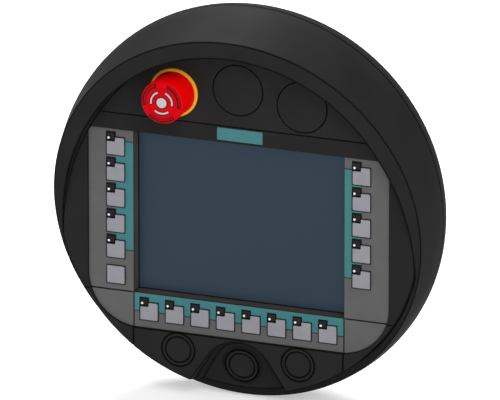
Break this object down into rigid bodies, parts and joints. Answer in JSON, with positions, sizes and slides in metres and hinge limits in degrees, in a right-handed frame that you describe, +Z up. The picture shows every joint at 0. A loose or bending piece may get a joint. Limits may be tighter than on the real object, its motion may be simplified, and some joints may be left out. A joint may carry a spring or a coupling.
{
  "type": "operator panel",
  "caption": "Round hand-held machine operator panel: drum housing with a tilted collar, recessed screen, membrane keys, push buttons and an emergency stop.",
  "frame": {"origin": "centre of the flat back, on the housing's axis", "axes": "+Y runs back along the housing's axis, away from the screen; +Z is up; +X is to the right for someone who faces the screen"},
  "size_m": [0.29, 0.103, 0.29],
  "materials": {
    "housing": "fine grained moulded",
    "panel": "smooth matt",
    "seal": "matt",
    "membrane": "textured film",
    "key": "satin",
    "lamp_tile": "smooth",
    "lamp": "translucent white",
    "bezel": "matt",
    "screen": "anti-glare film",
    "module": "plain frame",
    "steel": "zinc plated",
    "board": "solder resist",
    "connector": "matt",
    "estop_yellow": "satin",
    "estop_red": "satin",
    "estop_white": "satin",
    "stem": "matt",
    "button": "satin",
    "enabling": "matt",
    "gland": "matt"
  },
  "bodies": {
    "housing": {"front_housing": "housing", "front_frame": "housing", "rear_housing": "housing", "upper_panel": "panel", "lower_center_panel": "panel", "left_corner_cover": "panel", "right_corner_cover": "panel", "housing_seal": "seal", "left_membrane": "membrane", "right_membrane": "membrane", "bottom_membrane": "membrane", "corner_membranes": "membrane", "key_lamp_tiles": "lamp_tile", "key_lamps": "lamp", "screen_bezel": "bezel", "touch_screen": "screen", "display_module": "module", "carrier_plate": "steel", "main_board": "board", "key_boards": "board", "terminal_block": "connector", "estop_collar": "estop_yellow", "estop_nut": "connector", "estop_contact_block": "connector", "blanking_plugs": "panel", "button_bezels": "button", "button_contact_blocks": "connector", "terminal_cover": "panel", "cover_screws": "steel", "housing_screws": "steel", "carrier_screws": "steel", "cable_gland": "gland", "gland_locknut": "gland"},
    "left_key_1": {"left_key_1": "key"},
    "left_key_2": {"left_key_2": "key"},
    "left_key_3": {"left_key_3": "key"},
    "left_key_4": {"left_key_4": "key"},
    "left_key_5": {"left_key_5": "key"},
    "left_key_6": {"left_key_6": "key"},
    "right_key_1": {"right_key_1": "key"},
    "right_key_2": {"right_key_2": "key"},
    "right_key_3": {"right_key_3": "key"},
    "right_key_4": {"right_key_4": "key"},
    "right_key_5": {"right_key_5": "key"},
    "bottom_key_1": {"bottom_key_1": "key"},
    "bottom_key_2": {"bottom_key_2": "key"},
    "bottom_key_3": {"bottom_key_3": "key"},
    "bottom_key_4": {"bottom_key_4": "key"},
    "bottom_key_5": {"bottom_key_5": "key"},
    "bottom_key_6": {"bottom_key_6": "key"},
    "bottom_key_7": {"bottom_key_7": "key"},
    "bottom_key_8": {"bottom_key_8": "key"},
    "left_button_cap": {"left_button_cap": "button"},
    "center_button_cap": {"center_button_cap": "button"},
    "right_button_cap": {"right_button_cap": "button"},
    "estop_plunger": {"estop_stem": "stem"},
    "estop_head": {"estop_head": "estop_red", "estop_marks": "estop_white"},
    "left_enabling_button": {"left_enabling_button": "enabling"},
    "right_enabling_button": {"right_enabling_button": "enabling"}
  },
  "joints": [
    {"name": "left_key_1_press", "type": "slide", "parent": "housing", "child": "left_key_1", "axis": [0, 1, 0], "range_m": [0, 0.0005], "stiffness_N_per_m": 1500},
    {"name": "left_key_2_press", "type": "slide", "parent": "housing", "child": "left_key_2", "axis": [0, 1, 0], "range_m": [0, 0.0005], "stiffness_N_per_m": 1500},
    {"name": "left_key_3_press", "type": "slide", "parent": "housing", "child": "left_key_3", "axis": [0, 1, 0], "range_m": [0, 0.0005], "stiffness_N_per_m": 1500},
    {"name": "left_key_4_press", "type": "slide", "parent": "housing", "child": "left_key_4", "axis": [0, 1, 0], "range_m": [0, 0.0005], "stiffness_N_per_m": 1500},
    {"name": "left_key_5_press", "type": "slide", "parent": "housing", "child": "left_key_5", "axis": [0, 1, 0], "range_m": [0, 0.0005], "stiffness_N_per_m": 1500},
    {"name": "left_key_6_press", "type": "slide", "parent": "housing", "child": "left_key_6", "axis": [0, 1, 0], "range_m": [0, 0.0005], "stiffness_N_per_m": 1500},
    {"name": "right_key_1_press", "type": "slide", "parent": "housing", "child": "right_key_1", "axis": [0, 1, 0], "range_m": [0, 0.0005], "stiffness_N_per_m": 1500},
    {"name": "right_key_2_press", "type": "slide", "parent": "housing", "child": "right_key_2", "axis": [0, 1, 0], "range_m": [0, 0.0005], "stiffness_N_per_m": 1500},
    {"name": "right_key_3_press", "type": "slide", "parent": "housing", "child": "right_key_3", "axis": [0, 1, 0], "range_m": [0, 0.0005], "stiffness_N_per_m": 1500},
    {"name": "right_key_4_press", "type": "slide", "parent": "housing", "child": "right_key_4", "axis": [0, 1, 0], "range_m": [0, 0.0005], "stiffness_N_per_m": 1500},
    {"name": "right_key_5_press", "type": "slide", "parent": "housing", "child": "right_key_5", "axis": [0, 1, 0], "range_m": [0, 0.0005], "stiffness_N_per_m": 1500},
    {"name": "bottom_key_1_press", "type": "slide", "parent": "housing", "child": "bottom_key_1", "axis": [0, 1, 0], "range_m": [0, 0.0005], "stiffness_N_per_m": 1500},
    {"name": "bottom_key_2_press", "type": "slide", "parent": "housing", "child": "bottom_key_2", "axis": [0, 1, 0], "range_m": [0, 0.0005], "stiffness_N_per_m": 1500},
    {"name": "bottom_key_3_press", "type": "slide", "parent": "housing", "child": "bottom_key_3", "axis": [0, 1, 0], "range_m": [0, 0.0005], "stiffness_N_per_m": 1500},
    {"name": "bottom_key_4_press", "type": "slide", "parent": "housing", "child": "bottom_key_4", "axis": [0, 1, 0], "range_m": [0, 0.0005], "stiffness_N_per_m": 1500},
    {"name": "bottom_key_5_press", "type": "slide", "parent": "housing", "child": "bottom_key_5", "axis": [0, 1, 0], "range_m": [0, 0.0005], "stiffness_N_per_m": 1500},
    {"name": "bottom_key_6_press", "type": "slide", "parent": "housing", "child": "bottom_key_6", "axis": [0, 1, 0], "range_m": [0, 0.0005], "stiffness_N_per_m": 1500},
    {"name": "bottom_key_7_press", "type": "slide", "parent": "housing", "child": "bottom_key_7", "axis": [0, 1, 0], "range_m": [0, 0.0005], "stiffness_N_per_m": 1500},
    {"name": "bottom_key_8_press", "type": "slide", "parent": "housing", "child": "bottom_key_8", "axis": [0, 1, 0], "range_m": [0, 0.0005], "stiffness_N_per_m": 1500},
    {"name": "left_button_cap_press", "type": "slide", "parent": "housing", "child": "left_button_cap", "axis": [0, 1, 0], "range_m": [0, 0.0025], "stiffness_N_per_m": 1500},
    {"name": "center_button_cap_press", "type": "slide", "parent": "housing", "child": "center_button_cap", "axis": [0, 0.9889, 0.1483], "range_m": [0, 0.0025], "stiffness_N_per_m": 1500},
    {"name": "right_button_cap_press", "type": "slide", "parent": "housing", "child": "right_button_cap", "axis": [0, 1, 0], "range_m": [0, 0.0025], "stiffness_N_per_m": 1500},
    {"name": "estop_push", "type": "slide", "parent": "housing", "child": "estop_plunger", "axis": [0, 1, 0], "range_m": [0, 0.004], "stiffness_N_per_m": 2000},
    {"name": "estop_twist", "type": "hinge", "parent": "estop_plunger", "child": "estop_head", "pos_m": [-0.0482, -0.0775, 0.0839], "axis": [0, 1, 0], "range_deg": [0, 30], "stiffness_Nm_per_rad": 0.05},
    {"name": "left_enabling_button_squeeze", "type": "slide", "parent": "housing", "child": "left_enabling_button", "axis": [1, 0, 0], "range_m": [0, 0.005], "stiffness_N_per_m": 2000},
    {"name": "right_enabling_button_squeeze", "type": "slide", "parent": "housing", "child": "right_enabling_button", "axis": [-1, 0, 0], "range_m": [0, 0.005], "stiffness_N_per_m": 2000}
  ]
}
